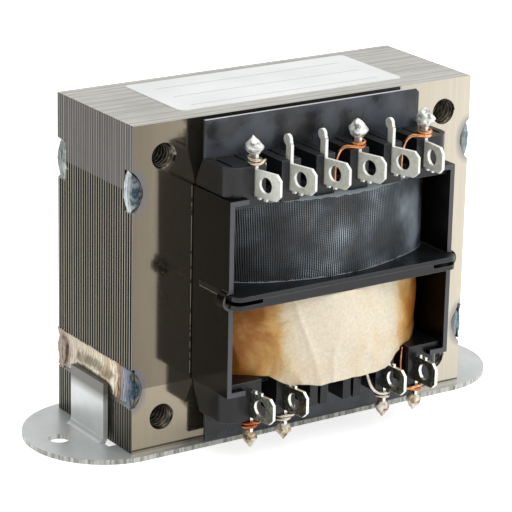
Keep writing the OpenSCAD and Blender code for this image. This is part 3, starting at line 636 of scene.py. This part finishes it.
def ball(rings=24, sides=36):
    """Points and faces of a unit ball."""
    points = [Vector((0, 0, -1))]
    for i in range(1, rings):
        a = math.pi * i / rings - math.pi / 2
        points += [Vector((math.cos(a) * math.cos(b), math.cos(a) * math.sin(b), math.sin(a)))
                   for b in (2 * math.pi * k / sides for k in range(sides))]
    points.append(Vector((0, 0, 1)))
    faces = [(0, 1 + (k + 1) % sides, 1 + k) for k in range(sides)]
    for i in range(rings - 2):
        faces += [(1 + i * sides + k, 1 + i * sides + (k + 1) % sides,
                   1 + (i + 1) * sides + (k + 1) % sides, 1 + (i + 1) * sides + k) for k in range(sides)]
    top, start = len(points) - 1, 1 + (rings - 2) * sides
    faces += [(start + k, start + (k + 1) % sides, top) for k in range(sides)]
    return points, faces


HOLLOW_R, HOLLOW_X, HOLLOW_TALL = 6.408, 51.633, 5.2  # a round hollow: radius, centre and half height
LUMP_TALL, LUMP_PROUD, LUMP_SUNK = 5.0, 0.35, 0.5  # half a lump's height, its bulge, and how deep it sinks


def weld_lump(sx, sy, z, long, seed):
    """Weld that fills the end of a hollow, long mm along the stack, and bulges from both faces."""
    points, faces = ball(44, 60)
    moved = []
    for p in points:
        s = p.z * LUMP_TALL
        depth = SIDE + math.sqrt(HOLLOW_R ** 2 - min(HOLLOW_TALL, abs(s)) ** 2) - HOLLOW_X
        across = math.hypot(p.x, p.y)
        square = across / (p.x ** 4 + p.y ** 4) ** 0.25 if across > 1e-6 else 1
        lump = noise.fractal(Vector((p.x * 2, p.y * 2, s * 0.45)) + Vector((seed, 0, 0)), 0.8, 2.1, 4)
        rough = noise.fractal(Vector((p.x * 5, p.y * 5, s * 1.3)) + Vector((0, seed, 0)), 0.7, 2.1, 3)
        bulge = LUMP_PROUD * math.sqrt(max(0, 1 - p.z ** 2)) * (1 + 0.5 * lump) + 0.1 * rough
        depth += LUMP_SUNK * (p.x < 0)
        x = SIDE - depth / 2 + p.x * square * depth / 2 + (p.x > 0) * p.x * bulge
        y = STACK_HALF - long / 2 + p.y * square * long / 2 * (1 + 0.2 * lump * (p.y < 0))
        y += (p.y > 0) * p.y * bulge
        moved.append(Vector((sx * x, sy * y, z + s)) * MM)
    return moved, faces


for side, word, metal in ((-1, "left", long_left), (1, "right", long_right)):
    ends = [weld_lump(side, sy, LOW_JOINT / MM, 3.4, side * 3 + sy) for sy in (-1, 1)]
    points, faces = join([long_weld(side)] + ends)
    new_piece("bead_" + word, points, faces, metal, "weld_steel", ["long_weld_" + word])
print("long weld ribs:", int(STACK_HALF * MM / SHEET))

# %% [markdown]
# ## Corner welds
# Each end of the upper joint has one short, lumpy spot of weld in its own hollow, silver on the
# side and blue on the flat face, painted blue-black at the left as shaded. The lump is the one at
# the ends of the long welds, only longer. The two at the right are painted paler, as lit, so the
# second half of the faces takes a second material.

# %% Corner welds
spots = [weld_lump(sx, sy, HIGH_JOINT / MM, 4.4, sx * 9 + sy * 5) for sx in (-1, 1) for sy in (-1, 1)]
welds = new_piece("corner_weld_spots", *join(spots), spot_left, "weld_steel", ["corner_welds"])
welds.data.materials.append(spot_right)
count = len(welds.data.polygons)
welds.data.polygons.foreach_set("material_index", [int(i >= count // 2) for i in range(count)])
print("corner weld faces:", count)

# %% [markdown]
# ## Coil outline
# Both coils are wound on a square tube and swell where the core doesn't hold them, so from
# above each is a box with bowed ends. The outline is sampled evenly, and its corners rounded by
# averaging. A sleeve is rows of that outline, pushed in and out by a function.

# %% Coil outline
def evenly(points, count):
    """count points at equal steps along a closed line."""
    loop = np.vstack([points, points[:1]])
    lengths = np.r_[0, np.cumsum(np.hypot(*np.diff(loop, axis=0).T))]
    where = np.linspace(0, lengths[-1], count, endpoint=False)
    return np.c_[np.interp(where, lengths, loop[:, 0]), np.interp(where, lengths, loop[:, 1])], where


FINE, AROUND = 2000, 220  # points along the outline before rounding, and about its length in mm


def coil_line(count, half, reach, bow, rounding):
    """Points, outward directions and distances along the outline, in mm, from the front left corner."""
    xs = np.linspace(-half, half, 300)
    front = np.c_[xs, bow - reach - np.sqrt(bow ** 2 - xs ** 2)]
    edge = front[-1, 1]
    right = np.c_[np.full(200, half), np.linspace(edge, -edge, 200)]
    loop = np.vstack([front, right, -front, -right])
    loop, _ = evenly(loop, FINE)
    spread = int(rounding * FINE / AROUND)
    weights = np.hanning(2 * spread + 1)
    weights /= weights.sum()
    loop = sum(w * np.roll(loop, k - spread, axis=0) for k, w in enumerate(weights))
    loop, where = evenly(loop, count)
    along = np.roll(loop, -1, axis=0) - np.roll(loop, 1, axis=0)
    along /= np.hypot(*along.T)[:, None]
    return loop, np.c_[along[:, 1], -along[:, 0]], where


def sleeve(push, node, rows, count, bow, rounding, wall_low, wall_high):
    """A closed sleeve in a node's box. push(x, y, along, t) gives how far out, and how far up, in mm."""
    low_corner, high_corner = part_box(node)
    z_low, z_high = low_corner.z / MM, high_corner.z / MM
    loop, out, where = coil_line(count, high_corner.x / MM, high_corner.y / MM, bow, rounding)
    total = where[-1] + where[1]
    points, uv_of = [], []
    for i in range(rows + 1):
        t = i / rows
        for (x, y), (nx, ny), s in zip(loop, out, where):
            d, up = push(x, y, s, t)
            points.append(((x + nx * d) * MM, (y + ny * d) * MM, (z_low + (z_high - z_low) * t + up) * MM))
            uv_of.append((s * MM, (z_high - z_low) * t * MM))
    outer = len(points)
    for i, wall in ((rows, wall_high), (0, wall_low)):
        for k, (nx, ny) in enumerate(out):
            px, py, pz = points[i * count + k]
            points.append((px - nx * wall * MM, py - ny * wall * MM, pz))
            uv_of.append(uv_of[i * count + k])
    rings = [i * count for i in range(rows + 1)] + [outer, outer + count]
    faces, uv = [], []
    for a, b in zip(rings, rings[1:]):
        for k in range(count):
            m = (k + 1) % count
            faces.append((a + k, a + m, b + m, b + k))
            wrap = total * MM if m == 0 else 0
            for index, extra in ((a + k, 0), (a + m, wrap), (b + m, wrap), (b + k, 0)):
                uv.append((uv_of[index][0] + extra, uv_of[index][1]))
    return points, faces, uv


def free(y):
    """0 inside the core, 1 where the coil stands free of it."""
    return min(1, max(0, (abs(y) - 18.5) / 5))

# %% [markdown]
# ## Woven tape
# The upper coil is bound in black glass-cloth tape, varnished. Upright ribs 0.55 mm apart are
# what the eye reads as cloth. They are drawn as a wave along the sleeve's own length, crossed by
# finer weft. Broad noise gives the soft dents that break up the sheen, and with the ribs it paints
# pale blue-grey patches of sheen into the colour. The cloth is painted paler towards the right,
# where the light falls.

# %% Tape
cloth, shader, place, add = new_material("varnished_glass_cloth_tape", {
    "IOR": 1.5, "Sheen Weight": 0.15, "Sheen Roughness": 0.4, "Sheen Tint": "#b9cbd8"})
sway = add("TexNoise", {"Vector": place, "Scale": 120, "Detail": 2})
flat_uv = add("SeparateXYZ", {0: add("UVMap", uv_map="UVMap")}).outputs
lean = add("Math", {0: flat_uv["Y"], 1: 0.04, 2: flat_uv["X"]}, operation="MULTIPLY_ADD")
lean = add("Math", {0: sway, 1: 0.0009, 2: lean}, operation="MULTIPLY_ADD")
RIB, WEFT = 0.55 * MM, 0.4 * MM
rib = add("Math", {0: lean, 1: 2 * math.pi / RIB}, operation="MULTIPLY")
rib = add("Math", {0: rib}, operation="SINE")
weft = add("Math", {0: flat_uv["Y"], 1: 2 * math.pi / WEFT}, operation="MULTIPLY")
weft = add("Math", {0: weft}, operation="SINE")
weave = add("Math", {0: weft, 1: 0.35, 2: rib}, operation="MULTIPLY_ADD")
patch = add("TexNoise", {"Vector": place, "Scale": 90, "Detail": 3})
lift = add("Math", {0: patch, 1: 2.4, 2: -1.2}, operation="MULTIPLY_ADD")
lift = add("Math", {0: weave, 1: 0.5, 2: lift}, operation="MULTIPLY_ADD")
lift = add("MapRange", {"Value": lift, "From Min": -0.9, "From Max": 0.9})
# painted sheen: patches and rib crests run from near black to a pale blue-grey
colour = add("ValToRGB", {0: lift}, [(0.1, "#060708"), (0.5, "#14171b"), (0.75, "#4d575f"), (1.0, "#b3c0c8")])
# painted light: the cloth is painted paler towards the right, where the light falls
wear_and_painted_light = add("MapRange", {"Value": add("SeparateXYZ", {0: place}).outputs["X"],
                        "From Min": -0.026, "From Max": 0.026, "To Min": 0.6, "To Max": 1.5})
colour = add("VectorMath", {0: colour, "Scale": wear_and_painted_light}, operation="SCALE")
# the cut edges of the tape are pale and fuzzy
fuzz = add("TexNoise", {"Vector": place, "Scale": 500, "Detail": 3})
hem = add("Math", {0: fuzz, 1: 1.2 * MM, 2: flat_uv["Y"]}, operation="MULTIPLY_ADD")
TAPE_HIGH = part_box("tape_upper")[1].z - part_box("tape_upper")[0].z
top_hem = add("Math", {0: hem, 1: TAPE_HIGH + 0.35 * MM}, operation="GREATER_THAN")
low_hem = add("Math", {0: hem, 1: 0.85 * MM}, operation="LESS_THAN")
hem = add("Math", {0: top_hem, 1: low_hem}, operation="MAXIMUM")
feed(shader, {
    "Base Color": add("Mix", {0: hem, 6: colour, 7: "#8c979c"}, data_type="RGBA"),
    "Roughness": add("MapRange", {"Value": patch, "From Min": 0.35, "From Max": 0.65,
                                  "To Min": 0.5, "To Max": 0.3}),
    "Normal": add("Bump", {"Height": weave, "Distance": 0.00007})})


def tape_push(x, y, s, t):
    loose = free(y)
    swell = 0.45 * 4 * t * (1 - t)
    dent = 0.55 * noise.noise((s * 0.055, t * 1.3, 2.0)) + 0.25 * noise.noise((s * 0.13, t * 2.6, 9.0))
    hem = 0.35 * math.exp(-(t / 0.05) ** 2)
    return loose * max(-0.1, swell + dent - 0.15 + hem) - 0.02, 0.05 * t ** 6


points, faces, uv = sleeve(tape_push, "tape_upper", rows=30, count=560, bow=50.0, rounding=8.0,
                           wall_low=0.45, wall_high=7.0)
new_piece("woven_tape_sleeve", points, faces, cloth, "woven_tape", ["tape_upper"], uv=uv)

# %% [markdown]
# ## Amber paper
# The lower coil is wrapped in soft crepe paper, soaked with varnish. Where the varnish pooled the
# paper is orange-brown, elsewhere it is cream. It creases as it is pulled round the corners, and
# its lower edge droops over the flange.

# %% Paper
paper, shader, place, add = new_material("varnished_crepe_paper", {
    "Roughness": 0.6, "IOR": 1.45, "Subsurface Weight": 0.15, "Subsurface Scale": 0.001, "Coat Weight": 0.12,
    "Coat Roughness": 0.35})
pool = add("TexNoise", {"Vector": place, "Scale": 75, "Detail": 5, "Roughness": 0.6, "Distortion": 0.6})
fibre = add("TexNoise", {"Vector": place, "Scale": 1400, "Detail": 4, "Roughness": 0.7})
# the varnish pooled towards both sides of the core
side_x = add("Math", {0: add("SeparateXYZ", {0: place}).outputs["X"], 1: MM}, operation="SUBTRACT")
side_x = add("Math", {0: side_x}, operation="ABSOLUTE")
stain = add("MapRange", {"Value": side_x, "From Min": 0.011, "From Max": 0.03,
                         "To Min": -0.17, "To Max": 0.5})
stain = add("Math", {0: pool, 1: 0.9, 2: stain}, operation="MULTIPLY_ADD")
colour = add("ValToRGB", {0: stain}, [(0.28, "#fbeed6"), (0.45, "#f3dfba"), (0.58, "#e2b066"),
                                      (0.75, "#b36d1f"), (1.0, "#6f3d12")])
shade = add("MapRange", {"Value": fibre, "From Min": 0.3, "From Max": 0.7, "To Min": 0.84, "To Max": 1.05})
feed(shader, {
    "Base Color": add("VectorMath", {0: colour, "Scale": shade}, operation="SCALE"),
    "Normal": add("Bump", {"Height": fibre, "Distance": 0.00008, "Strength": 0.6})})


def paper_push(x, y, s, t):
    loose = free(y)
    swell = 0.7 * 4 * t * (1 - t)
    dent = 0.7 * noise.noise((s * 0.05, t * 1.1, 12.0)) + 0.3 * noise.noise((s * 0.14, t * 2.2, 5.0))
    fold = 1 - abs(noise.noise((s * 0.13 + t * 1.2, t * 0.8, 21.0))) * 2
    crease = 0.6 * max(0, fold) ** 4
    droop = loose * min(1, max(0, (abs(y) - 31) / 2.4))
    hang = -2.6 * droop * (1 - t) ** 5 * (1 + 0.3 * noise.noise((s * 0.2, 0, 3)))
    return loose * max(-0.1, swell + dent + crease - 0.2) + 0.5 * droop * (1 - t) ** 4 - 0.02, hang


points, faces, uv = sleeve(paper_push, "wrap_lower", rows=40, count=560, bow=38.0, rounding=7.0,
                           wall_low=3.0, wall_high=0.6)
new_piece("crepe_paper_sleeve", points, faces, paper, "amber_paper", ["wrap_lower"], uv=uv)

# %% [markdown]
# ## Windings
# Under the tape and paper lie the copper turns, seen only in the gaps. Enamelled wire has a
# brown glassy coat over copper, and each turn is a round ridge.

# %% Windings
TURN = 0.8 * MM
enamel, shader, place, add = new_material("enamelled_copper_turns", {
    "Metallic": 0.6, "Roughness": 0.3, "Coat Weight": 0.6, "Coat Roughness": 0.15})
xyz = add("SeparateXYZ", {0: place}).outputs
turn = add("Math", {0: xyz["Z"], 1: 2 * math.pi / TURN}, operation="MULTIPLY")
turn = add("Math", {0: turn}, operation="SINE")
vary = add("TexNoise", {"Vector": place, "Scale": 200, "Detail": 2})
feed(shader, {
    "Base Color": add("ValToRGB", {0: vary}, [(0.3, "#4a2415"), (0.7, "#8a4a28")]),
    "Normal": add("Bump", {"Height": turn, "Distance": 0.0001, "Strength": 0.8})})
finish_nodes(enamel, "copper_wire", "winding_upper", "winding_lower")

# %% [markdown]
# ## Lead-out wires
# Seven wires leave the coils through notches in the flanges and end in turns round the lugs'
# tails. Each follows the same line as its solid, drawn finer and rounder.

# %% Leads
def drawn_wire(name, dark, middle, light):
    """Bare wire, with faint bands from the drawing die."""
    mat, shader, place, add = new_material(name, {"Metallic": 1.0, "Roughness": 0.26})
    vary = add("TexNoise", {"Vector": place, "Scale": 500, "Detail": 3})
    feed(shader, {"Base Color": add("ValToRGB", {0: vary}, [(0.3, dark), (0.55, middle), (0.75, light)])})
    return mat


copper = drawn_wire("bare_copper_wire", "#a8633c", "#cf8d5c", "#f3c9a2")
red_copper = drawn_wire("heated_copper_wire", "#8f4426", "#bd6b40", "#d99870")
# pale_wire is copper painted pale, nearly white, as a highlight where it catches the light
pale_wire = drawn_wire("copper_wire_painted_pale", "#a3917d", "#d3c8b9", "#f0ebe2")

# all in mm, with heights from the middle of the core
PITCH, POST_Y, COIL_TOP = 9.525, 31.74, 21.0625
TAIL_Y, TURN_Z, TURN_R, RISE, WIRE_R = -30.94, 31.3625, 1.527, 0.86, 0.4
NEAR_POST, MID_NOTCH = 3.2, 5.3625  # where a wire comes through the flange, off its lug


def place_x(n):
    return (n - 3.5) * PITCH


def bezier(a, b, c, d, t):
    return (1 - t) ** 3 * a + 3 * t * (1 - t) ** 2 * b + 3 * t * t * (1 - t) * c + t ** 3 * d


LINE_STEPS, TURN_STEPS, TURNS = 24, 36, 1.5  # steps in a curve and in a turn, and turns round a tail


def lead(n, hand, up, start, bend):
    """A wire from start over bend to place n, then round its tail. up is 1 above and -1 below."""
    centre = Vector((place_x(n), TAIL_Y, TURN_Z))
    end = centre + Vector((0, -TURN_R, 0))
    line = [bezier(start, bend, end - Vector((hand * 3, 0, 0)), end, i / LINE_STEPS)
            for i in range(LINE_STEPS)]
    for i in range(int(TURN_STEPS * TURNS) + 1):
        a = math.radians(-90 + hand * 360 / TURN_STEPS * i)
        line.append(centre + Vector((TURN_R * math.cos(a), TURN_R * math.sin(a), RISE * i / TURN_STEPS)))
    return [Vector((p.x, p.y, CORE_MIDDLE / MM + up * p.z)) * MM for p in line]


for n, hand, up, off, mat in ((1, -1, 1, NEAR_POST, pale_wire), (4, 1, 1, MID_NOTCH, copper),
                              (6, 1, 1, MID_NOTCH, copper), (1, -1, -1, NEAR_POST, red_copper),
                              (2, -1, -1, NEAR_POST, pale_wire), (5, 1, -1, 0, pale_wire),
                              (6, 1, -1, NEAR_POST, copper)):
    start = Vector((place_x(n) - hand * off, -POST_Y + 2, COIL_TOP + 0.5))
    bend = Vector((start.x - hand * 0.6, start.y + 0.6, TURN_Z + 3.4))
    if off == 0:  # this one comes round the front of the flange
        start = Vector((place_x(n) - hand * 0.78 * PITCH, -33.89, COIL_TOP + 0.5))
        bend = Vector((start.x + 0.6, start.y - 0.6, COIL_TOP + 7))
    row = "top" if up > 0 else "low"
    new_piece(f"wire_{row}_{n}", *tube(lead(n, hand, up, start, bend), WIRE_R * MM), mat, "copper_wire",
              [f"lead_{row}_{n}"])
print("wires: 7")

# %% [markdown]
# ## Solder
# Solder froze as it was drawn away from the iron, so each drop has dents and a peak. A ball is
# stretched to the solid's box and narrowed towards the peak, and cells and noise break it up.
# The drops below are slimmer, and stained with flux.

# %% Solder
def frozen_solder(name, dark, middle, light):
    """Solder with a skin of flux, in patches about a millimetre across."""
    mat, shader, place, add = new_material(name, {"Metallic": 0.45})
    flux = add("TexNoise", {"Vector": place, "Scale": 700, "Detail": 4, "Roughness": 0.65})
    feed(shader, {
        "Base Color": add("ValToRGB", {0: flux}, [(0.36, dark), (0.48, middle), (0.62, light)]),
        "Roughness": add("MapRange", {"Value": flux, "To Min": 0.2, "To Max": 0.45}),
        "Normal": add("Bump", {"Height": flux, "Distance": 0.00012, "Strength": 0.7})})
    return mat


solder = frozen_solder("frozen_tin_solder", "#77746a", "#e4e5e1", "#fdfdfc")
stained = frozen_solder("flux_stained_solder", "#5d4326", "#cbb58f", "#fbfaf5")


def drop(low_corner, high_corner, up, seed, lean, sharp):
    """A drop that fills the solid's box. up is 1 for a peak above and -1 for one below."""
    points, faces = ball(20, 28)
    centre = (low_corner + high_corner) / 2
    half = (high_corner - low_corner) / 2
    moved = []
    for p in points:
        h = (p.z * up + 1) / 2
        width = (1 - sharp * max(0, h - 0.45) / 0.55) * (0.92 + 0.22 * math.sin(math.pi * h))
        width *= 1 if up > 0 else 0.8
        cell = noise.voronoi(p * 1.5 + Vector((seed, 0, 0)))[0]
        lump = 0.82 + 0.42 * cell[0] + 0.14 * noise.fractal(p * 1.6 + Vector((seed, 0, 0)), 0.8, 2.0, 3)
        q = Vector((p.x * width * lump + lean * h * h, p.y * width * lump, p.z))
        moved.append(centre + Vector((q.x * half.x, q.y * half.y, q.z * half.z)))
    return moved, faces


for number, (name, up, lean, sharp) in enumerate((
        ("top_1", 1, -0.35, 0.75), ("top_4", 1, -0.2, 0.35), ("top_6", 1, 0.0, 0.4), ("low_1", -1, 0.2, 0.7),
        ("low_2", -1, 0.1, 0.8), ("low_5", -1, 0.15, 0.75), ("low_6", -1, -0.1, 0.6))):
    points, faces = drop(*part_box("solder_" + name), up, 3.7 * number, lean, sharp)
    new_piece("drop_" + name, points, faces, solder if up > 0 else stained, "solder", ["solder_" + name])

# %% [markdown]
# ## Label
# A bare white film label lies on top of the core. It has no words, only faint ruled lines, as
# on an unfilled form.

# %% Label
film, shader, place, add = new_material("white_label_film", {"Roughness": 0.35, "IOR": 1.5})
xyz = add("SeparateXYZ", {0: place}).outputs
tone = add("TexNoise", {"Vector": place, "Scale": 60, "Detail": 2})
colour = add("ValToRGB", {0: tone}, [(0.3, "#e0e3e2"), (0.7, "#eceeed")])
# the rules are 8 mm apart, 0.32 mm wide, and stop 5 mm short of the edges
label_low, label_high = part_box("label")
near = add("Math", {0: xyz["Y"], 1: 4 * MM}, operation="PINGPONG")
near = add("Math", {0: near, 1: 0.16 * MM}, operation="LESS_THAN")
inside = within(add, xyz["X"], (label_low.x + label_high.x) / 2, (label_high.x - label_low.x) / 2 - 5 * MM)
ruled = add("Math", {0: near, 1: inside}, operation="MULTIPLY")
ruled = add("Math", {0: ruled, 1: 0.9}, operation="MULTIPLY")
feed(shader, {"Base Color": add("Mix", {0: ruled, 6: colour, 7: "#aaaeac"}, data_type="RGBA")})
finish_nodes(film, "label_paper", "label")
print("label in mm:", [round(v / MM, 1) for v in label_high - label_low])
